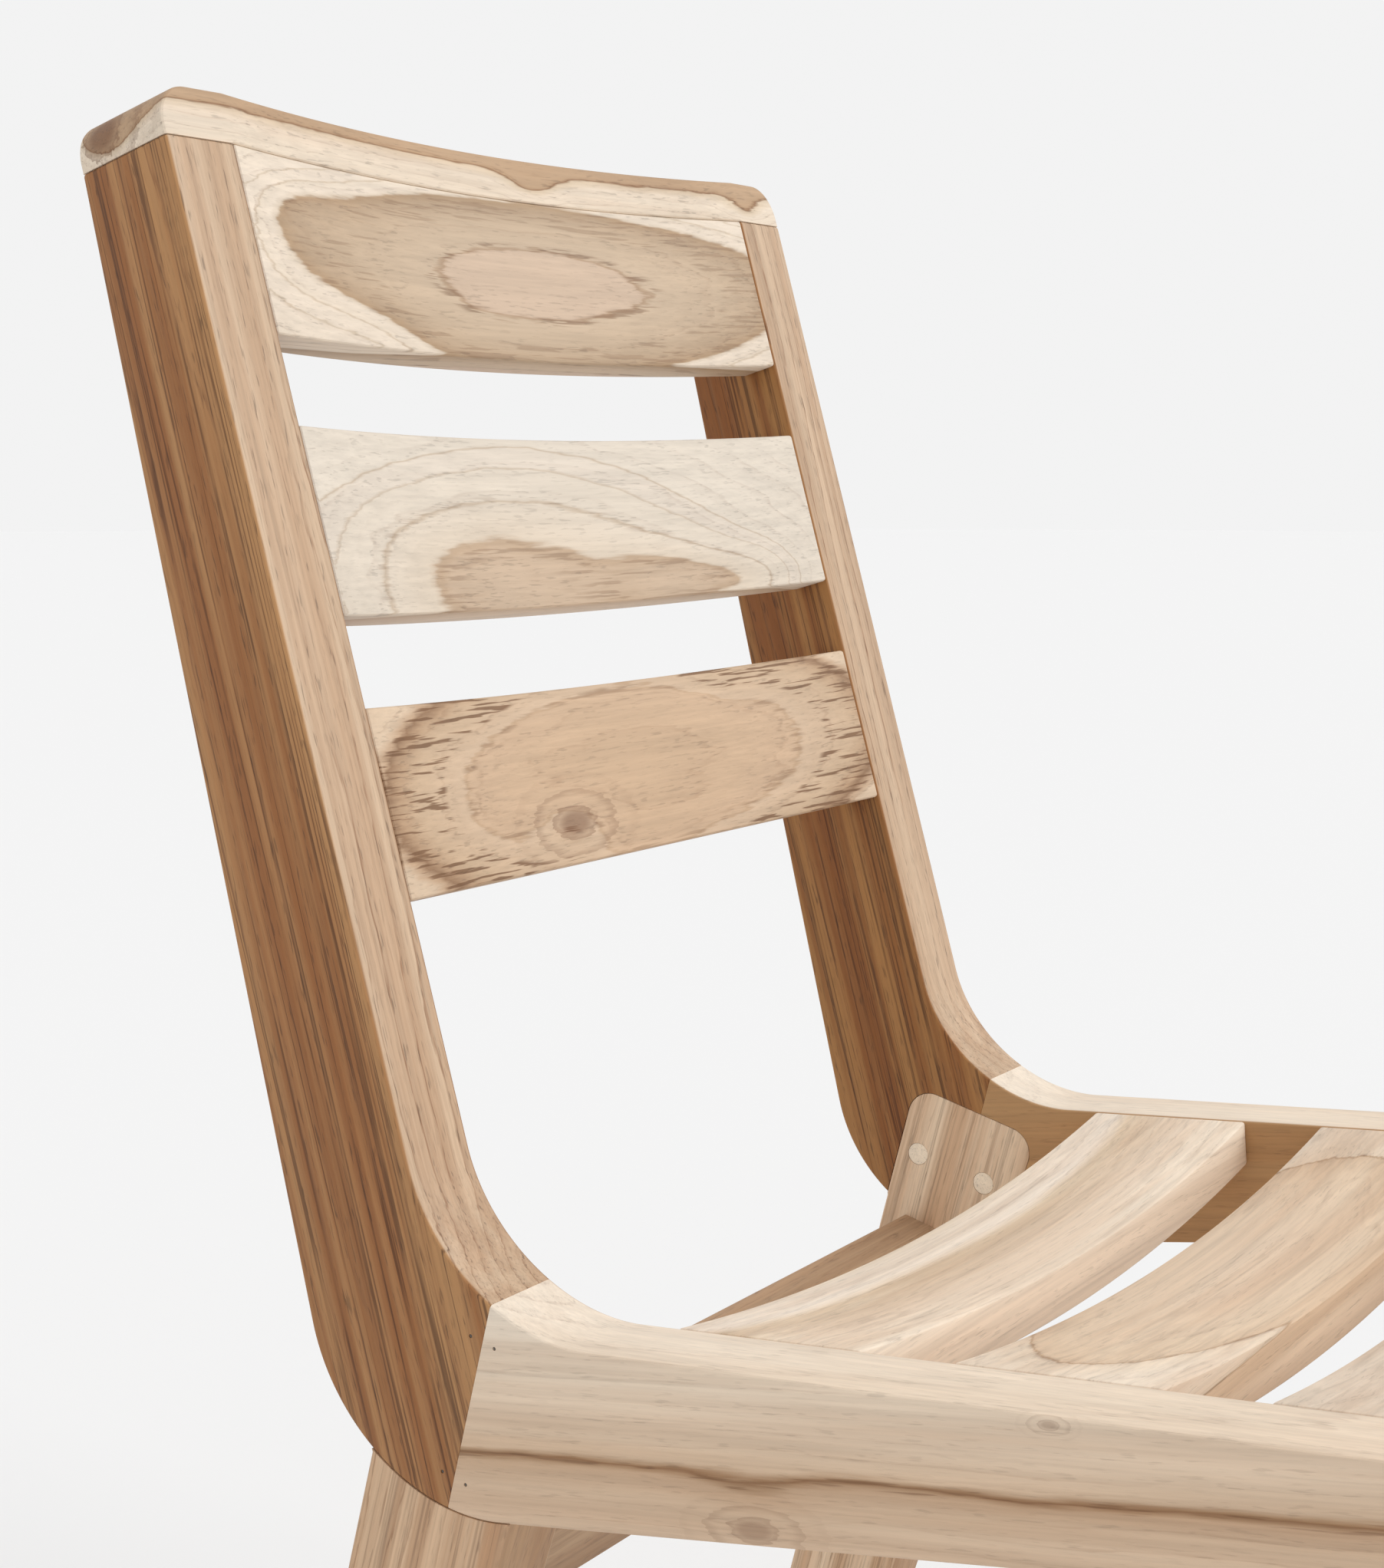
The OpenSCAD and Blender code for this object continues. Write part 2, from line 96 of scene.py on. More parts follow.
surround = bpy.data.worlds.new("studio_surround")
surround.use_nodes = True
surround_tree = surround.node_tree
seen_directly = surround_tree.nodes.new("ShaderNodeLightPath").outputs["Is Camera Ray"]
for brightness, name in ((0.72, "lighting"), (0.895, "seen")):
    shade = surround_tree.nodes.new("ShaderNodeBackground")
    shade.name = name
    shade.inputs["Color"].default_value = (brightness, brightness, brightness, 1)
either = surround_tree.nodes.new("ShaderNodeMixShader")
surround_tree.links.new(seen_directly, either.inputs[0])
surround_tree.links.new(surround_tree.nodes["lighting"].outputs[0], either.inputs[1])
surround_tree.links.new(surround_tree.nodes["seen"].outputs[0], either.inputs[2])
surround_tree.links.new(either.outputs[0], surround_tree.nodes["World Output"].inputs["Surface"])
bpy.context.scene.world = surround
bpy.context.scene.view_settings.view_transform = "Standard"

for lamp_name, toward, strength, spread_angle in (
        ("key_light", (0.30, -0.68, 0.62), 1.45, 50),
        ("back_light", (-0.35, 0.60, 0.72), 0.30, 80)):
    bpy.ops.object.light_add(type="SUN", location=Vector(toward) * 4,
                             rotation=(-Vector(toward)).to_track_quat("-Z", "Y").to_euler())
    lamp = bpy.context.object
    lamp.name = lamp_name
    lamp.data.energy = strength
    lamp.data.angle = math.radians(spread_angle)

# ---- Side frames: stiles and seat rails ----
# Each side frame is solid teak 40 mm thick: a stile and a seat rail, mitred together at the knee
# with two hidden dowels and shaped as one piece, hollow inside the knee and round outside it.
# The legs are let into its inner face, and four fine pins lock the dowels from the outer face.

stile_knee_depth = 0.071
rail_length = 0.408
rail_front_depth = 0.044
rail_knee_depth = 0.0765
timber = 0.040                              # thickness of side frames and legs
outer_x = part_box("stile_left")[1].x
inner_x = outer_x - timber
half_timber = timber / 2
arris = 0.0016                              # round-over of every edge that hands touch
knee_hollow = 0.083
knee_round = 0.086
mitre_tilt = math.radians(14.3)
mitre_ahead = 0.018                         # mitre crosses the seat line this far before the knee
tab_round = 0.014
tab_line = 0.0003                           # open line round a let-in tab
speck = 0.0001                              # closer than this is the same place
weld = 0.00002                              # points closer than this become one
quarter = math.pi / 2


def behind(up, back):
    """Point in the side plane: up the stile's front edge, then back from it."""
    return Vector((0, knee_y + up * math.sin(lean) + back * math.cos(lean),
                   knee_z + up * math.cos(lean) - back * math.sin(lean)))


def ahead(out, below):
    """Point in the side plane: out along the rail's top edge, then below it."""
    return Vector((0, knee_y - out * math.cos(rise) - below * math.sin(rise),
                   knee_z + out * math.sin(rise) - below * math.cos(rise)))


def let_go():
    """Back to object mode, with nothing selected."""
    if bpy.context.object and bpy.context.object.mode != "OBJECT":
        bpy.ops.object.mode_set(mode="OBJECT")
    bpy.ops.object.select_all(action="DESELECT")


def take(piece):
    """Makes one piece the only selected and active object."""
    let_go()
    piece.select_set(True)
    bpy.context.view_layer.objects.active = piece


def start_block(name, low, high):
    """A sawn block between two corners, with its origin at the chair's."""
    let_go()
    low, high = Vector(low), Vector(high)
    bpy.ops.mesh.primitive_cube_add(size=1, location=(low + high) / 2, scale=high - low)
    block = bpy.context.object
    block.name = name
    bpy.ops.object.transform_apply(location=True, rotation=True, scale=True)
    return block


def peg(radius, length, x, place, sides):
    """A round peg that lies across the chair, with its middle at x and at a place in the side plane."""
    let_go()
    bpy.ops.mesh.primitive_cylinder_add(vertices=sides, radius=radius, depth=length,
                                        rotation=(0, quarter, 0), location=(x, place.y, place.z))
    return bpy.context.object


def pick(piece, kind, wanted):
    """In edit mode, selects the vertices, edges or faces whose middle and direction are wanted."""
    take(piece)
    bpy.ops.object.mode_set(mode="EDIT")
    bpy.ops.mesh.select_mode(type=kind)
    bpy.ops.mesh.select_all(action="DESELECT")
    bpy.ops.object.mode_set(mode="OBJECT")
    points = piece.data.vertices
    if kind == "VERT":
        for point in points:
            point.select = wanted(point.co, None)
    elif kind == "EDGE":
        for edge in piece.data.edges:
            a, b = (points[i].co for i in edge.vertices)
            edge.select = wanted((a + b) / 2, (b - a).normalized())
    else:
        for face in piece.data.polygons:
            face.select = wanted(face.center, face.normal)
    bpy.ops.object.mode_set(mode="EDIT")


def saw(piece, through, waste):
    """Cuts a piece off square through a point, and drops the side that the waste direction shows."""
    take(piece)
    bpy.ops.object.mode_set(mode="EDIT")
    bpy.ops.mesh.select_all(action="SELECT")
    bpy.ops.mesh.bisect(plane_co=through, plane_no=waste, use_fill=True, clear_outer=True)
    bpy.ops.object.mode_set(mode="OBJECT")


def copy_of(piece, name):
    """A copy with its own mesh."""
    take(piece)
    bpy.ops.object.duplicate(linked=False)
    twin = bpy.context.object
    twin.name = name
    return twin


def cut_out(piece, cutter):
    """Takes the cutter's shape out of a piece and throws the cutter away."""
    take(piece)
    bpy.ops.object.modifier_add(type="BOOLEAN")
    piece.modifiers[-1].operation = "DIFFERENCE"
    piece.modifiers[-1].solver = "EXACT"
    piece.modifiers[-1].object = cutter
    bpy.ops.object.modifier_apply(modifier=piece.modifiers[-1].name)
    bpy.data.objects.remove(cutter)


def round_corner(piece, at, radius, turn, steps):
    """Rounds the edge along X that runs through a point, where the sides turn by an angle."""
    pick(piece, "EDGE", lambda middle, way: abs(way.x) > 0.99
         and math.hypot(middle.y - at.y, middle.z - at.z) < 5 * speck)
    bpy.ops.mesh.bevel(offset=radius * math.tan(turn / 2), segments=steps, profile=0.5,
                       affect="EDGES", clamp_overlap=False)
    bpy.ops.object.mode_set(mode="OBJECT")


def ease(piece, width, wanted, steps=3):
    """Rounds over the sharp edges of a piece whose middle and direction are wanted."""
    take(piece)
    bpy.ops.object.mode_set(mode="EDIT")
    bpy.ops.mesh.select_mode(type="EDGE")
    bpy.ops.mesh.select_all(action="DESELECT")
    bpy.ops.mesh.edges_select_sharp(sharpness=math.radians(30))
    bpy.ops.object.mode_set(mode="OBJECT")
    points = piece.data.vertices
    for edge in piece.data.edges:
        a, b = (points[i].co for i in edge.vertices)
        edge.select = edge.select and wanted((a + b) / 2, (b - a).normalized())
    bpy.ops.object.mode_set(mode="EDIT")
    bpy.ops.mesh.bevel(offset=width, segments=steps, profile=0.5, affect="EDGES", clamp_overlap=True)
    bpy.ops.object.mode_set(mode="OBJECT")


def tidy_faces(piece):
    """Merges faces that lie in one plane, and turns all of them outwards."""
    take(piece)
    bpy.ops.object.mode_set(mode="EDIT")
    bpy.ops.mesh.select_all(action="SELECT")
    bpy.ops.mesh.remove_doubles(threshold=weld)
    bpy.ops.mesh.dissolve_limited(angle_limit=math.radians(0.05))
    bpy.ops.mesh.normals_make_consistent(inside=False)
    bpy.ops.object.mode_set(mode="OBJECT")


def fit_piece(piece, nodes, finish):
    """Shades a finished piece, gives it its finish, and puts it in the place of its CAD nodes."""
    take(piece)
    bpy.ops.object.shade_smooth_by_angle(angle=math.radians(28))
    piece.data.materials.clear()
    piece.data.materials.append(finish)
    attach(piece, "root")
    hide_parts(*nodes)


def line_meet(p, u, q, v):
    """Where two lines in the side plane cross."""
    return p + u * (((q.y - p.y) * v.z - (q.z - p.z) * v.y) / (u.y * v.z - u.z * v.y))


knee = behind(0, 0)
stile_top, stile_top_back = behind(stile_length, 0), behind(stile_length, stile_top_depth)
rail_end, rail_end_low = ahead(rail_length, 0), ahead(rail_length, rail_front_depth)
stile_back_way = (behind(0, stile_knee_depth) - stile_top_back).normalized()
rail_low_way = (ahead(0, rail_knee_depth) - rail_end_low).normalized()
heel = line_meet(stile_top_back, stile_back_way, rail_end_low, rail_low_way)
up_way, out_way = (stile_top - knee).normalized(), (rail_end - knee).normalized()
block_side = 0.1
knee_steps = 40


def side_blank(name, x_low, x_high):
    """The L of stile and rail, from a block whose edges go to their corners and a face drawn out."""
    blank = start_block(name, (x_low, 0, 0), (x_high, block_side, block_side))
    corners = {(0, 0): knee, (0, block_side): stile_top, (block_side, block_side): stile_top_back,
               (block_side, 0): heel}
    for (y, z), corner in corners.items():
        pick(blank, "VERT", lambda spot, _, y=y, z=z: math.hypot(spot.y - y, spot.z - z) < 10 * speck)
        bpy.ops.transform.translate(value=corner - Vector((0, y, z)))
    pick(blank, "FACE", lambda middle, way: (middle - (knee + heel) / 2).yz.length < 20 * speck)
    step = rail_end - knee
    bpy.ops.mesh.extrude_region_move(TRANSFORM_OT_translate={"value": step})
    pick(blank, "VERT", lambda spot, _: (spot - heel - step).yz.length < 5 * speck)
    bpy.ops.transform.translate(value=rail_end_low - heel - step)
    tidy_faces(blank)
    round_corner(blank, knee, knee_hollow, math.pi - up_way.angle(out_way), knee_steps)
    round_corner(blank, heel, knee_round, math.pi - stile_back_way.angle(rail_low_way), knee_steps)
    tidy_faces(blank)
    return blank


def leg_board(name, x_low, x_high, corner, inward, down, top_w, foot_w, grow=0.0):
    """A tapered leg sawn from a block: outer edge, top, tapered inner edge and level foot."""
    length = corner.z / -down.z
    board = start_block(name, (x_low, corner.y - length, -block_side),
                        (x_high, corner.y + length, corner.z + block_side))
    taper = (inward * (foot_w - top_w) + down * length).normalized()
    inner = Vector((0, -taper.z, taper.y))
    inner = inner if inner.dot(inward) > 0 else -inner
    saw(board, corner - inward * grow, -inward)
    saw(board, corner - down * grow, -down)
    saw(board, corner + inward * top_w + inner * grow, inner)
    saw(board, Vector((0, 0, 0)), Vector((0, 0, -1)))
    tidy_faces(board)
    near = corner - inward * grow - down * grow
    top_side = line_meet(near, inward, corner + inward * top_w + inner * grow, taper)
    for spot in (near, top_side):
        round_corner(board, spot, tab_round + grow, quarter, 10)
    return board


rear_rake, front_rake = math.radians(14.8), math.radians(8)
rear_tab_back, rear_tab_rise = 0.023, 0.0064            # from the knee
front_tab_setback, front_tab_drop = 0.026, 0.024        # from the rail's front end
rear_corner = Vector((0, knee_y + rear_tab_back, knee_z + rear_tab_rise))
rear_inward = Vector((0, -math.cos(rear_rake), -math.sin(rear_rake)))
rear_down = Vector((0, math.sin(rear_rake), -math.cos(rear_rake)))
front_corner = ahead(rail_length - front_tab_setback, front_tab_drop)
front_inward = Vector((0, math.cos(front_rake), -math.sin(front_rake)))
front_down = Vector((0, -math.sin(front_rake), -math.cos(front_rake)))
legs = {
    "rear": dict(corner=rear_corner, inward=rear_inward, down=rear_down,
                 top_w=0.075, foot_w=0.052),
    "front": dict(corner=front_corner, inward=front_inward, down=front_down,
                  top_w=0.066, foot_w=0.046),
}
mitre_spot = knee - Vector((0, mitre_ahead, 0))
mitre_back = Vector((0, math.cos(mitre_tilt), math.sin(mitre_tilt)))
mitre_up = Vector((0, -math.sin(mitre_tilt), math.cos(mitre_tilt)))
mitre_line = 0.0002                         # eased edge that shows the mitre as a fine line
pin_radius, pin_sink, pin_hole = 0.0008, 0.0006, 0.004
pin_aside, pin_drop = 0.006, 0.061          # from the mitre, and down to the lower pair


def pin_places():
    """A pin each side of the mitre, at two heights."""
    return [mitre_spot - mitre_up * drop + mitre_back * aside
            for drop in (0, pin_drop) for aside in (-pin_aside, pin_aside)]


def add_node(tree, kind, inputs=None, **settings):
    """A shader node with its settings, and its inputs set or linked."""
    made = tree.nodes.new("ShaderNode" + kind)
    for key, value in settings.items():
        setattr(made, key, value)
    for key, value in (inputs or {}).items():
        if isinstance(value, bpy.types.NodeSocket):
            tree.links.new(value, made.inputs[key])
        else:
            made.inputs[key].default_value = value
    return made


def tone(red, green, blue):
    """A display colour as the linear colour that a shader takes."""
    return tuple((v / 255 / 12.92 if v <= 10 else ((v / 255 + 0.055) / 1.055) ** 2.4)
                 for v in (red, green, blue)) + (1.0,)


def teak(name, corner, turn, pith, bands, run=0.0, ring=0.0042, lines=0.2, wander=0.004,
         fleck=0.6, faces=None, knots=(), ragged=0.0007, veins=0.0, vein_width=0.013, dashes=()):
    """Teak sawn from a log. turn lays the grain along the pattern's X, from a corner of the board.
    pith is the log's centre in the pattern's Y and Z, and run is how far it slants in Y along X.
    bands are (distance from the pith, colour), ring is the width of a growth ring and lines its
    darkness, wander and ragged bend and tear the rings, and fleck is the pores' darkness.
    faces are (depth, outer colour, inner colour) of a timber's two side faces, the inner colour also
    being painted shade on the side frames and a painted highlight on the legs, knots are (place, size,
    push on the rings, darkness), and dashes are (from, to, darkness) of strokes in a ring."""
    wood = bpy.data.materials.new(name)
    wood.use_nodes = True
    tree = wood.node_tree
    shader = tree.nodes["Principled BSDF"]

    def maths(operation, a, b=0.0, c=0.0, clamp=False):
        return add_node(tree, "Math", {0: a, 1: b, 2: c}, operation=operation,
                        use_clamp=clamp).outputs[0]

    def product(*values):
        total = values[0]
        for value in values[1:]:
            total = maths("MULTIPLY", total, value)
        return total

    def spread(value, low, high, to_low=0.0, to_high=1.0, kind="SMOOTHSTEP"):
        return add_node(tree, "MapRange", {
            "Value": value, "From Min": low, "From Max": high, "To Min": to_low, "To Max": to_high},
            interpolation_type=kind).outputs["Result"]

    def blend(share, base, over, kind="MIX"):
        return add_node(tree, "Mix", {0: share, 6: base, 7: over}, data_type="RGBA",
                        blend_type=kind).outputs[2]

    def grain_noise(scales, detail=2.0, seed=0.0):
        stretched = add_node(tree, "Mapping", {"Vector": grain, "Scale": scales,
                                               "Location": (seed, seed, seed)})
        return add_node(tree, "TexNoise", {"Vector": stretched.outputs[0], "Scale": 1.0,
                                           "Detail": detail, "Roughness": 0.55}).outputs

    turned = Matrix.Identity(3)
    for angle, axis in zip(turn, "XYZ"):
        turned = Matrix.Rotation(angle, 3, axis) @ turned
    place = add_node(tree, "TexCoord").outputs["Object"]
    grain = add_node(tree, "Mapping", {"Vector": place, "Rotation": turn,
                                       "Location": -(turned @ corner)}).outputs[0]

    # the board wanders through the log: broad sway, and a finer waver on it
    bent = grain
    for scales, detail, seed, reach in (((4, 11, 11), 1.0, pith[0] * 31, 2.2 * wander),
                                        ((22, 55, 55), 2.0, 3.1, 0.5 * wander)):
        sway = add_node(tree, "VectorMath", {0: grain_noise(scales, detail, seed)["Color"],
                                             1: (0.5, 0.5, 0.5)}, operation="SUBTRACT").outputs[0]
        bent = add_node(tree, "VectorMath", {0: sway, 1: (0, reach, reach), 2: bent},
                        operation="MULTIPLY_ADD").outputs[0]
    part = add_node(tree, "SeparateXYZ", {0: bent}).outputs
    from_y = maths("SUBTRACT", maths("MULTIPLY_ADD", part["X"], -run, part["Y"]), pith[0])
    from_z = maths("SUBTRACT", part["Z"], pith[1])
    radius = maths("SQRT", maths("MULTIPLY_ADD", from_y, from_y, product(from_z, from_z)))

    # knots push the rings aside, and are dark in the middle with a few rims round it
    tear = maths("SUBTRACT", grain_noise((30, 430, 430), 2.0, 4.4)["Fac"], 0.5)
    hearts = None
    for spot, size, push, darkness in knots:
        off = add_node(tree, "VectorMath", {0: grain, 1: spot}, operation="SUBTRACT").outputs[0]
        off = add_node(tree, "VectorMath", {0: off, 1: (0.45 / size, 1 / size, 1 / size)},
                       operation="MULTIPLY").outputs[0]
        reach = add_node(tree, "VectorMath", {0: off}, operation="LENGTH").outputs["Value"]
        swirl = maths("EXPONENT", product(reach, reach, -0.35))
        radius = maths("MULTIPLY_ADD", swirl, push, radius)
        waves = maths("FRACT", maths("MULTIPLY_ADD", tear, 0.9, product(reach, 1.15)))
        rims = product(spread(waves, 0.45, 0.95), spread(reach, 0.6, 3.2, 0.7 * darkness, 0.0))
        heart = maths("MAXIMUM", rims, spread(reach, 0.35, 1.0, darkness, 0.0))
        hearts = heart if hearts is None else maths("MAXIMUM", hearts, heart)

    # colour of the log by distance from its centre, torn along the grain by the vessels
    torn = maths("MULTIPLY_ADD", tear, 4 * ragged, radius)
    first, last = bands[0][0], bands[-1][0]
    ramp = add_node(tree, "ValToRGB", {0: spread(torn, first, last, kind="LINEAR")})
    while len(ramp.color_ramp.elements) < len(bands):
        ramp.color_ramp.elements.new(0.5)
    for stop, (distance, colour) in zip(ramp.color_ramp.elements, bands):
        stop.position = (distance - first) / (last - first)
        stop.color = tone(*colour)
    colour = ramp.outputs["Color"]

    # dark strokes where late wood meets the surface at a slant
    stroke = spread(grain_noise((26, 100, 520), 2.0, 6.1)["Fac"], 0.53, 0.60)
    fade = 0.0008
    for inner, outer, share in dashes:
        within = product(spread(radius, inner, inner + fade),
                         spread(radius, outer - fade, outer, 1.0, 0.0))
        colour = blend(product(stroke, within, share), colour, tone(116, 82, 54))

    # the outer and inner faces of a squared timber, cut through other rings than its edges; the inner
    # face's colour is partly painted light as well: painted shade on the side frames, a painted
    # highlight on the legs
    strength = veins
    if faces:
        depth, outer_tone, inner_tone_with_painted_light = faces
        from_middle = maths("SUBTRACT", maths("ABSOLUTE", add_node(
            tree, "SeparateXYZ", {0: place}).outputs["X"]), inner_x + half_timber)
        if outer_tone:
            outside = spread(from_middle, half_timber - depth, half_timber - 0.2 * depth)
            colour = blend(outside, colour, tone(*outer_tone))
        inside = spread(from_middle, -half_timber + 0.2 * depth, -half_timber + depth, 1.0, 0.0)
        colour = blend(inside, colour, tone(*inner_tone_with_painted_light))
        strength = product(spread(maths("ABSOLUTE", from_middle), half_timber - depth,
                                  half_timber, 0.40, 1.0), veins)

    # veins: soft darker and paler runs, with a few thin dark lines between them
    if veins:
        fine = 1 / vein_width
        vein = grain_noise((1.5, fine, fine), 3.0, 6.6)["Fac"]
        colour = blend(product(spread(vein, 0.66, 0.34), strength), colour,
                       tone(196, 160, 126), "MULTIPLY")
        thin = maths("ABSOLUTE", maths("SUBTRACT", grain_noise(
            (1.0, 1.7 * fine, 1.7 * fine), 2.0, 8.3)["Fac"], 0.5))
        broken = spread(grain_noise((16, 160, 160), 2.0, 4.9)["Fac"], 0.36, 0.56, 0.25, 1.0)
        thin = product(spread(thin, 0.004, 0.040, 1.0, 0.0), broken, strength, strength)
        colour = blend(thin, colour, tone(86, 54, 34), "MULTIPLY")

    # growth lines: a slow darkening through each ring and a thin broken edge where it ends
    beat = grain_noise((5, 40, 40), 2.0, 7.7)["Fac"]
    phase = maths("FRACT", maths("MULTIPLY_ADD", beat, 1.6, product(torn, 1 / ring)))
    late = spread(phase, 0.30, 0.93)
    small_phase = maths("FRACT", maths("MULTIPLY_ADD", beat, 2.3, product(torn, 3.3 / ring)))
    small = spread(small_phase, 0.55, 0.95)
    broken = spread(grain_noise((60, 260, 260), 1.0, 2.9)["Fac"], 0.38, 0.60, 0.30, 1.0)
    edge = product(spread(phase, 0.84, 0.95), spread(phase, 0.96, 1.0, 1.0, 0.0), broken)
    patch = spread(grain_noise((3, 26, 26), 1.0, 1.3)["Fac"], 0.36, 0.66, 0.30, 1.0)
    rings = maths("ADD", edge, maths("MULTIPLY_ADD", late, 0.30, product(small, 0.22)))
    colour = blend(maths("MULTIPLY", product(rings, patch), lines, clamp=True), colour,
                   tone(126, 84, 52))
    if hearts is not None:
        colour = blend(hearts, colour, tone(112, 72, 46))

    # fibres shade the wood a little along the grain, and pores make short dark flecks in it
    fibre = grain_noise((9, 520, 520), 3.0, 2.2)["Fac"]
    broad = grain_noise((3.5, 120, 120), 2.0, 5.5)["Fac"]
    pores = product(spread(grain_noise((85, 1000, 1000), 1.0, 9.1)["Fac"], 0.58, 0.68),
                    maths("MULTIPLY_ADD", late, 0.7, 0.3))
    shade = product(spread(fibre, 0.3, 0.7, 0.95, 1.05),
                    spread(broad, 0.3, 0.7, 0.955, 1.045),
                    maths("MULTIPLY_ADD", pores, -0.42 * fleck, 1.0))
    finish = add_node(tree, "VectorMath", {0: colour, "Scale": shade}, operation="SCALE").outputs[0]
    tree.links.new(finish, shader.inputs["Base Color"])

    sheen = maths("MULTIPLY_ADD", fibre, 0.16, maths("MULTIPLY_ADD", late, -0.05, 0.50))
    tree.links.new(sheen, shader.inputs["Roughness"])
    shader.inputs["Specular IOR Level"].default_value = 0.32
    relief = maths("MULTIPLY_ADD", fibre, 0.5, product(pores, -0.8))
    bump = add_node(tree, "Bump", {"Strength": 0.35, "Distance": 0.00025, "Height": relief})
    tree.links.new(bump.outputs["Normal"], shader.inputs["Normal"])
    return wood


face_depth = 0.0018                         # how far a side face's colour reaches in
rail_slant = math.radians(3.65)             # the rail's grain against its top edge
side_names = (("left", 1), ("right", -1))
for side, sign in side_names:
    x_low, x_high = sorted((sign * inner_x, sign * outer_x))
    blank = side_blank("side_blank", x_low, x_high)
    ends = (up_way.dot(stile_top - knee) - 4 * speck, out_way.dot(rail_end - knee) - 4 * speck)
    ease(blank, arris, lambda middle, way: abs(way.x) < 0.01
         and up_way.dot(middle - knee) < ends[0] and out_way.dot(middle - knee) < ends[1])
    recess_low, recess_high = sorted((sign * (inner_x - 10 * speck), sign * (inner_x + half_timber)))
    for leg in legs.values():
        cut_out(blank, leg_board("recess", recess_low, recess_high, grow=tab_line, **leg))
    for place in pin_places():
        cut_out(blank, peg(pin_radius, 2 * pin_hole, sign * outer_x, place, 24))
    rail = copy_of(blank, "teak_seat_rail_" + side)
    saw(rail, mitre_spot, mitre_back)
    stile = blank
    stile.name = "teak_stile_" + side
    saw(stile, mitre_spot, -mitre_back)
    for half, toward in ((rail, -mitre_back), (stile, mitre_back)):
        tidy_faces(half)
        ease(half, mitre_line, lambda middle, way: abs(mitre_back.dot(middle - mitre_spot)) < speck, 1)

    # the stile's darker inner face colour is partly its own timber and partly painted shade, for the
    # shade inside the frame under the slats
    stile_teak = teak(
        "teak_stile_" + side, knee, (lean, quarter, 0), (-0.052, -sign * 0.168),
        ((0.060, (200, 173, 145)), (0.082, (206, 179, 151)), (0.100, (205, 179, 150)),
         (0.120, (186, 153, 119)), (0.160, (204, 175, 146))),
        run=0.012, ring=0.0068, lines=0.50, wander=0.006, fleck=1.0, veins=0.80, vein_width=0.010,
        faces=(face_depth, (182, 136, 90), (168, 120, 70)))
    # the rail's darker inner face colour is partly its own timber and partly painted shade, for the
    # shade inside the frame under the seat
    rail_teak = teak(
        "teak_rail_" + side, knee, (rise + rail_slant, 0, -quarter), (-sign * 0.200, 0.060),
        ((0.060, (236, 222, 204)), (0.080, (232, 214, 192)), (0.098, (226, 203, 178)),
         (0.1112, (218, 192, 164)), (0.1135, (168, 133, 99)), (0.1142, (144, 107, 75)),
         (0.1149, (174, 140, 107)), (0.1166, (202, 171, 141)), (0.124, (213, 186, 158)),
         (0.145, (222, 198, 172))),
        dashes=((0.1128, 0.1168, 0.45),), ring=0.0075, lines=0.16, wander=0.0045, fleck=0.35,
        veins=0.22, vein_width=0.016, faces=(face_depth, None, (186, 145, 100)),
        knots=(((-0.135, -sign * outer_x, -0.068), 0.0058, 0.002, 0.42),
               ((-0.138, -sign * outer_x, -0.062), 0.0080, -0.0085, 0.0),
               ((-0.261, -sign * outer_x, -0.020), 0.0022, 0.001, 0.36)))
    fit_piece(stile, ["stile_" + side], stile_teak)
    fit_piece(rail, ["seat_rail_" + side], rail_teak)

# ---- Pins ----
# Fine steel pins, driven in from the outer face on both sides of the mitre to lock its dowels.
# They are punched just below the timber, so each shows as a small dark dot.

pin_length = 0.016
pin_fit = 0.96                              # a pin against its hole
bright_steel = bpy.data.materials.new("pin_steel")
bright_steel.use_nodes = True
steel_tree = bright_steel.node_tree
steel_shader = steel_tree.nodes["Principled BSDF"]
steel_shader.inputs["Metallic"].default_value = 1.0
steel_place = add_node(steel_tree, "TexCoord").outputs["Object"]
steel_noise = add_node(steel_tree, "TexNoise", {"Scale": 900.0, "Detail": 3.0, "Vector": steel_place})
steel_ramp = add_node(steel_tree, "ValToRGB", {0: steel_noise.outputs["Fac"]})
steel_ramp.color_ramp.elements[0].color = tone(96, 90, 84)
steel_ramp.color_ramp.elements[1].color = tone(150, 146, 140)
steel_tree.links.new(steel_ramp.outputs["Color"], steel_shader.inputs["Base Color"])
steel_sheen = add_node(steel_tree, "MapRange", {"Value": steel_noise.outputs["Fac"],
                                                "To Min": 0.35, "To Max": 0.6})
steel_tree.links.new(steel_sheen.outputs[0], steel_shader.inputs["Roughness"])


def joined(pieces, name):
    """Several pieces made into one object."""
    let_go()
    for piece in pieces:
        piece.select_set(True)
    bpy.context.view_layer.objects.active = pieces[0]
    bpy.ops.object.join()
    pieces[0].name = name
    return pieces[0]


pins = []
for side, sign in side_names:
    for place in pin_places():
        pins.append(peg(pin_radius * pin_fit, pin_length - pin_sink,
                        sign * (outer_x - (pin_length + pin_sink) / 2), place, 16))
        bpy.ops.object.transform_apply(location=True, rotation=True, scale=True)
        head_x = sign * (outer_x - pin_sink)
        pick(pins[-1], "FACE", lambda middle, way: abs(middle.x - head_x) < speck)
        bpy.ops.mesh.inset(thickness=pin_radius * 0.3)
        bpy.ops.transform.translate(value=(-sign * 2 * speck, 0, 0))
        bpy.ops.object.mode_set(mode="OBJECT")
fit_piece(joined(pins, "locking_pins"), ["mitre_pins"], bright_steel)

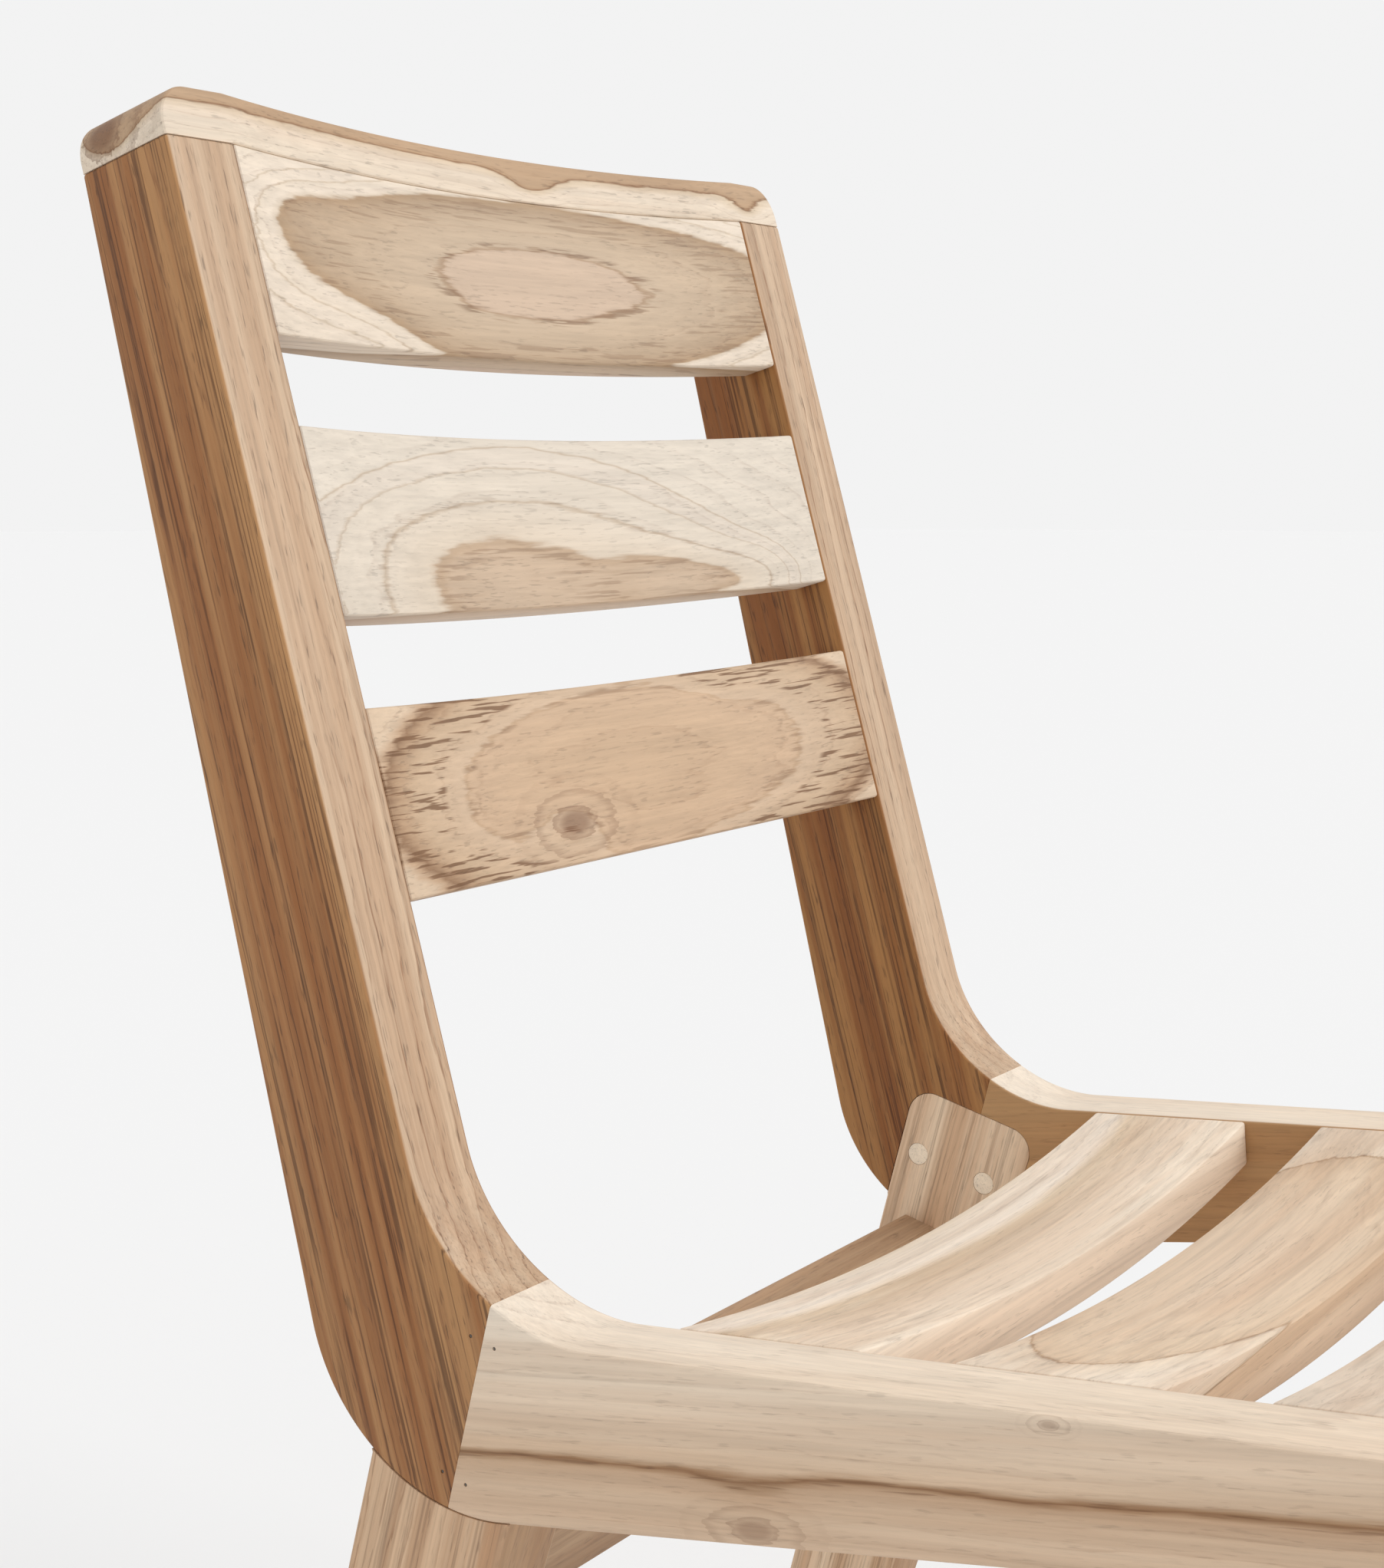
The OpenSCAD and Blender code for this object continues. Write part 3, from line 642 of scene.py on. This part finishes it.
# ---- Legs ----
# Tapered teak legs 40 mm thick, half-lapped to the side frame: the inner half runs up as a tab
# with rounded corners into a recess, and the outer half stops under the frame's curve.
# Two screws hold each tab, under pale plugs set flush in the inner face.

plug_radius = 0.006
plug_depth = 0.008
plug_line = 0.0001                          # fine gap round a plug
tab_ease = 0.0004                           # eased edge of a tab
shoulder = {"rear": (0.0660, 0.0636), "front": (0.0230, 0.0243)}   # below the frame, each edge
screw_spots = {"rear": (0.036, (0.012, 0.053)), "front": (0.013, (0.015, 0.049))}


def plug_places(end):
    """Middles of the two plugs of a leg, in the side plane."""
    drop, insets = screw_spots[end]
    board = legs[end]
    return [board["corner"] + board["down"] * drop + board["inward"] * inset for inset in insets]


for end, leg in legs.items():
    for side, sign in side_names:
        x_low, x_high = sorted((sign * inner_x, sign * outer_x))
        board = leg_board("teak_%s_leg_%s" % (end, side), x_low, x_high, **leg)
        x_low, x_high = sorted((sign * (inner_x + half_timber), sign * (outer_x + 0.01)))
        cut_out(board, side_blank("frame_shape", x_low, x_high))
        tidy_faces(board)
        drop_near, drop_far = shoulder[end]
        near = leg["corner"] + leg["down"] * drop_near
        far = leg["corner"] + leg["inward"] * leg["top_w"] + leg["down"] * drop_far
        slope = (far - near).normalized()
        below = Vector((0, -slope.z, slope.y))
        below = below if below.z < 0 else -below
        take(board)
        bpy.ops.object.mode_set(mode="EDIT")
        bpy.ops.mesh.select_all(action="SELECT")
        bpy.ops.mesh.bisect(plane_co=near, plane_no=below)
        bpy.ops.object.mode_set(mode="OBJECT")
        ease(board, arris, lambda middle, way: below.dot(middle - near) > 5 * speck
             and abs(way.x) < 0.2 and (abs(way.dot(slope)) < 0.9 or middle.z < 10 * speck))
        ease(board, tab_ease, lambda middle, way: below.dot(middle - near) < 5 * speck
             and abs(abs(middle.x) - inner_x) < speck, 2)
        for place in plug_places(end):
            cut_out(board, peg(plug_radius + plug_line, 2 * plug_depth, sign * inner_x, place, 64))
        turn = -rear_rake if end == "rear" else front_rake
        # the leg's paler inner face colour is partly its own timber and partly a painted highlight,
        # lighting the tab brighter than the frame round it
        leg_teak = teak(
            "teak_%s_leg_%s" % (end, side), leg["corner"], (turn, quarter, 0),
            ((0.055 if end == "rear" else -0.06), -sign * 0.165),
            ((0.05, (196, 160, 124)), (0.075, (182, 146, 110)), (0.09, (194, 160, 126)),
             (0.11, (176, 138, 102)), (0.14, (192, 158, 124))),
            run=0.01 * sign, ring=0.0058, lines=0.40, wander=0.005, veins=0.55, vein_width=0.010,
            faces=(face_depth, (214, 181, 148), (234, 208, 178)))
        fit_piece(board, ["%s_leg_%s" % (end, side)], leg_teak)

# ---- Plugs ----
# Very pale face-grain plugs, 12 mm across, glued in over the leg screws and pared flush.
# Their edges are eased a little, so a fine line shows round each one.

plug_ease = 0.0004
plug_teak = teak("teak_plug", knee, (0, 0, 0), (0.02, -0.10),
                 ((0.05, (244, 227, 203)), (0.10, (240, 221, 195)), (0.30, (246, 230, 207))),
                 ring=0.0035, lines=0.16, wander=0.003, fleck=0.8)
for end in legs:
    plugs = []
    for side, sign in side_names:
        for place in plug_places(end):
            plugs.append(peg(plug_radius, plug_depth, sign * (inner_x + plug_depth / 2), place, 64))
            bpy.ops.object.transform_apply(location=True, rotation=True, scale=True)
            face_x = sign * inner_x
            pick(plugs[-1], "FACE", lambda middle, way: abs(middle.x - face_x) < speck)
            bpy.ops.mesh.bevel(offset=plug_ease, segments=2, affect="EDGES")
            bpy.ops.object.mode_set(mode="OBJECT")
    fit_piece(joined(plugs, "teak_%s_leg_plugs" % end), [end + "_leg_plugs"], plug_teak)

# ---- Back slats ----
# Three slats sawn on a curve from thick boards, 82 mm wide and 20 mm thick, dowelled between the
# stiles with their faces flush at the ends. The curve cuts the log's rings into long ovals.

slat_width = 0.082
slat_step = 0.121
back_slat_thick = 0.020
back_hollow = 0.016
bow_steps = 56
sawn_off = math.radians(0.4)                # left over at each end of a curved board


def curved_board(name, hollow, along, bow, depth, low, high):
    """A section swept round the hollow's centre, then sawn square between the side frames. hollow
    is the way into the hollow and along the way up the frame, with low and high measured on it."""
    radius = (inner_x ** 2 + bow ** 2) / (2 * bow)
    sideways = hollow.cross(along)
    lie = Matrix((sideways, hollow, along)).transposed().to_4x4()
    lie.translation = knee + hollow * (bow - radius)
    sweep = math.asin(inner_x / radius) + sawn_off
    section = (lie @ Matrix.Rotation(sweep, 4, "Z")
               @ Matrix.Translation((0, radius + depth / 2, (low + high) / 2))
               @ Matrix.Rotation(quarter, 4, "Y"))
    let_go()
    bpy.ops.mesh.primitive_plane_add(size=1, location=section.translation,
                                     rotation=section.to_euler())
    board = bpy.context.object
    board.name = name
    board.scale = (high - low, depth, 1)
    bpy.ops.object.transform_apply(location=True, rotation=True, scale=True)
    bpy.ops.object.mode_set(mode="EDIT")
    bpy.ops.mesh.select_all(action="SELECT")
    bpy.ops.mesh.spin(steps=bow_steps, angle=2 * sweep, center=lie.translation, axis=along)
    bpy.ops.object.mode_set(mode="OBJECT")
    for sign in (1, -1):
        saw(board, Vector((sign * inner_x, 0, 0)), Vector((sign, 0, 0)))
    take(board)
    bpy.ops.object.mode_set(mode="EDIT")
    bpy.ops.mesh.select_all(action="SELECT")
    bpy.ops.mesh.remove_doubles(threshold=weld)
    bpy.ops.mesh.normals_make_consistent(inside=False)
    bpy.ops.object.mode_set(mode="OBJECT")
    return board


back_way = Vector((0, math.cos(lean), -math.sin(lean)))
cream, rosy = (226, 211, 193), (204, 180, 157)
back_slats = {
    "upper": dict(
        pith=(0.066, 0.451), run=-0.020, ring=0.0052, lines=0.13, wander=0.0030, ragged=0.0004,
        dashes=((0.0526, 0.0546, 0.55), (0.0585, 0.0662, 0.30)),
        bands=((0.0300, (226, 206, 184)), (0.0470, (212, 188, 164)), (0.0500, rosy), (0.0530, rosy),
               (0.0533, (168, 139, 111)), (0.0536, (199, 177, 152)), (0.0585, (196, 173, 147)),
               (0.0635, (179, 154, 127)), (0.0653, (172, 144, 114)), (0.0658, (214, 198, 178)),
               (0.0668, cream), (0.0690, (224, 209, 190)), (0.0693, (200, 181, 158)),
               (0.0697, cream), (0.0725, cream), (0.0728, (202, 184, 161)), (0.0732, cream),
               (0.0800, (224, 209, 190))),
        knots=(((-0.168, 0.005, 0.474), 0.0110, -0.0045, 0.0),
               ((-0.125, 0.010, 0.420), 0.0120, 0.0040, 0.0))),
    "middle": dict(
        pith=(0.175, 0.304), run=0.036, ring=0.0048, lines=0.12, wander=0.0022, ragged=0.0002,
        dashes=((0.1582, 0.1600, 0.35), (0.1622, 0.1640, 0.25)),
        bands=((0.1400, (222, 204, 184)), (0.1560, (205, 183, 159)), (0.1590, (198, 174, 149)),
               (0.1595, (184, 158, 131)), (0.1598, (214, 199, 180)), (0.1627, (219, 206, 189)),
               (0.1630, (190, 171, 149)), (0.1633, (217, 205, 189)), (0.1672, (217, 205, 189)),
               (0.1674, (192, 174, 153)), (0.1676, (217, 205, 190)), (0.1706, (217, 205, 190)),
               (0.1709, (188, 169, 147)), (0.1711, (217, 206, 191)), (0.1900, (217, 206, 191))),
        knots=(((0.085, 0.014, 0.302), 0.0140, -0.0055, 0.0),
               ((0.152, 0.008, 0.297), 0.0130, -0.0110, 0.0))),
    "lower": dict(
        pith=(0.111, 0.211), ring=0.0050, lines=0.14, wander=0.0036, ragged=0.0006,
        dashes=((0.1045, 0.1140, 0.85), (0.1010, 0.1030, 0.35)),
        bands=((0.0700, (214, 190, 164)), (0.0940, (200, 171, 141)), (0.1018, (202, 173, 144)),
               (0.1022, (188, 158, 128)), (0.1026, (206, 180, 153)), (0.1084, (198, 171, 142)),
               (0.1110, (180, 149, 119)), (0.1124, (146, 114, 86)), (0.1134, (190, 160, 131)),
               (0.1150, (212, 189, 163)), (0.1300, (200, 172, 142))),
        knots=(((-0.056, 0.014, 0.190), 0.0092, 0.0075, 0.60),
               ((0.088, 0.014, 0.250), 0.0100, 0.0035, 0.0))),
}
for count, (name, figure) in enumerate(back_slats.items()):
    high = stile_length - count * slat_step
    slat = curved_board("teak_back_slat_" + name, back_way, up_way, back_hollow,
                        back_slat_thick, high - slat_width, high)
    ease(slat, arris, lambda middle, way: abs(way.x) > 0.8)
    slat_teak = teak("teak_back_slat_" + name, knee, (lean, 0, 0), fleck=0.45, **figure)
    fit_piece(slat, ["back_slat_" + name], slat_teak)

# ---- Seat slats ----
# Three slats like the back's, 22 mm thick and dished, flush with the tops of the rails at their
# ends, where two dowels in each end hold them.

seat_slat_thick = 0.022
seat_hollow = 0.015
down_way = Vector((0, -math.sin(rise), -math.cos(rise)))
seat_slats = {
    "front": dict(
        pith=(-0.330, -0.115), ring=0.0060, wander=0.004,
        bands=((0.0900, (226, 208, 186)), (0.1100, (230, 213, 193)), (0.1400, (224, 204, 180)))),
    "middle": dict(
        pith=(-0.238, -0.130), ring=0.0060, wander=0.003, ragged=0.0002,
        dashes=((0.1246, 0.1262, 0.35),),
        bands=((0.1120, (231, 207, 181)), (0.1220, (228, 204, 176)), (0.1251, (222, 196, 167)),
               (0.1254, (190, 157, 124)), (0.1256, (232, 212, 188)), (0.1300, (238, 221, 200)),
               (0.1500, (238, 222, 202)))),
    "rear": dict(
        pith=(0.020, -0.110), ring=0.0064, wander=0.005,
        bands=((0.1200, (247, 233, 215)), (0.1380, (244, 229, 210)), (0.1440, (238, 220, 197)),
               (0.1480, (244, 229, 210)), (0.1600, (247, 233, 216)), (0.1660, (226, 204, 176)),
               (0.1900, (244, 229, 209)))),
}
for count, (name, figure) in enumerate(seat_slats.items()):
    high = rail_length - count * slat_step
    slat = curved_board("teak_seat_slat_" + name, down_way, out_way, seat_hollow,
                        seat_slat_thick, high - slat_width, high)
    ease(slat, arris, lambda middle, way: abs(way.x) > 0.8)
    slat_teak = teak("teak_seat_slat_" + name, knee, (rise, 0, 0), lines=0.12, fleck=0.35,
                     veins=0.34, vein_width=0.020, **figure)
    fit_piece(slat, ["seat_slat_" + name], slat_teak)

# ---- Crest rail and nose rail ----
# Each caps the ends of the two side frames on hidden dowels: a board 22 mm thick, bowed between
# the frames to match the slats, flat over the frames, with its two outer corners rounded.

cap_thick = 0.022
cap_round = 0.018


def cap_board(name, hollow, along, bow, depth, start):
    """A curved board whose sawn ends are drawn out over the side frames and rounded off."""
    radius = (inner_x ** 2 + bow ** 2) / (2 * bow)
    outer_radius = math.hypot(inner_x, depth + radius - bow)
    cap = curved_board(name, hollow, along, bow, outer_radius - radius, start, start + cap_thick)
    for sign in (1, -1):
        pick(cap, "FACE", lambda middle, way: way.x * sign > 0.99)
        bpy.ops.mesh.extrude_region_move(TRANSFORM_OT_translate={"value": (sign * timber, 0, 0)})
        bpy.ops.object.mode_set(mode="OBJECT")
        pick(cap, "EDGE", lambda middle, way: abs(middle.x - sign * outer_x) < speck
             and abs(way.dot(hollow)) > 0.99
             and along.dot(middle - knee) > start + cap_thick - 2 * speck)
        bpy.ops.mesh.bevel(offset=cap_round, segments=14, profile=0.5, affect="EDGES",
                           clamp_overlap=False)
        bpy.ops.object.mode_set(mode="OBJECT")
    ease(cap, arris, lambda middle, way: along.dot(middle - knee) > start + 4 * speck
         or abs(middle.x) < inner_x)
    return cap


crest = cap_board("teak_crest_rail", back_way, up_way, back_hollow, stile_top_depth, stile_length)
crest_teak = teak("teak_crest_rail", knee, (lean, 0, 0), (0.008, 0.560),
                  ((0.0300, (172, 140, 108)), (0.0470, (188, 158, 127)), (0.0488, (184, 153, 121)),
                   (0.0495, (140, 104, 72)), (0.0502, (214, 194, 168)), (0.0540, (228, 212, 192)),
                   (0.0900, (226, 210, 188))),
                  ring=0.0060, lines=0.16, wander=0.0030, veins=0.15,
                  knots=(((0.032, 0.016, 0.503), 0.0065, -0.0085, 0.0),
                         ((0.208, 0, 0.500), 0.0060, -0.0095, 0.0),
                         ((-0.241, 0.036, 0.508), 0.0130, -0.0200, 0.7)))
fit_piece(crest, ["crest_rail"], crest_teak)

nose = cap_board("teak_nose_rail", down_way, out_way, seat_hollow, rail_front_depth, rail_length)
nose_teak = teak("teak_nose_rail", knee, (rise, 0, 0), (-0.300, -0.100),
                 ((0.0700, (226, 208, 184)), (0.1100, (220, 198, 170)), (0.1500, (230, 214, 192))),
                 run=0.01, ring=0.0060, lines=0.18, wander=0.0045, veins=0.2)
fit_piece(nose, ["nose_rail"], nose_teak)

# ---- Aprons ----
# Two flat teak boards 20 mm thick, between the rear legs and between the front legs just under
# the seat. Each follows the slope of its legs and is held by two dowels in each end.

apron_thick = 0.020
apron_inset = 0.013                         # behind the legs' outer edges
# distance below the tab's corner, height, slope
aprons = {"rear": (0.072, 0.088, -rear_rake), "front": (0.030, 0.070, front_rake)}
for end, (drop, height, tilt) in aprons.items():
    leg = legs[end]
    apron = start_block("teak_%s_apron" % end, (-inner_x, -apron_thick / 2, -height / 2),
                        (inner_x, apron_thick / 2, height / 2))
    middle_spot = (leg["corner"] + leg["inward"] * (apron_inset + apron_thick / 2)
                   + leg["down"] * (drop + height / 2))
    apron.rotation_euler = (-tilt, 0, 0)
    apron.location = middle_spot
    bpy.ops.object.transform_apply(location=True, rotation=True, scale=True)
    bpy.ops.object.mode_set(mode="EDIT")
    bpy.ops.mesh.select_all(action="SELECT")
    bpy.ops.mesh.subdivide(number_cuts=3)
    bpy.ops.object.mode_set(mode="OBJECT")
    ease(apron, arris, lambda middle, way: abs(way.x) > 0.8)
    apron_teak = teak("teak_%s_apron" % end, leg["corner"], (tilt, 0, 0),
                      (-0.09, -drop - 0.4 * height),
                      ((0.055, (196, 168, 138)), (0.075, (188, 158, 127)), (0.10, (200, 173, 144)),
                       (0.13, (184, 153, 121))),
                      run=0.03, ring=0.0064, lines=0.30, wander=0.007, veins=0.35)
    fit_piece(apron, [end + "_apron"], apron_teak)

# ---- Dowels and screws ----
# Pale teak dowels glued into the ends of slats, aprons and rails, and steel screws in the legs
# under their plugs. They are inside the joints, turned and plain, so the frame's own shapes stay.

dowel_teak = teak("teak_dowel", knee, (0, 0, 0), (-0.03, -0.09),
                  ((0.05, (222, 202, 172)), (0.20, (228, 208, 180)), (0.60, (218, 196, 166))),
                  ring=0.003, lines=0.2, wander=0.003)
hidden_finish = {"dowels": dowel_teak, "screws": bright_steel}
for node, cad_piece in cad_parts.items():
    finish = hidden_finish.get(node.split("_")[-1])
    if finish:
        cad_piece.data.materials.clear()
        cad_piece.data.materials.append(finish)

low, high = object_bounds()
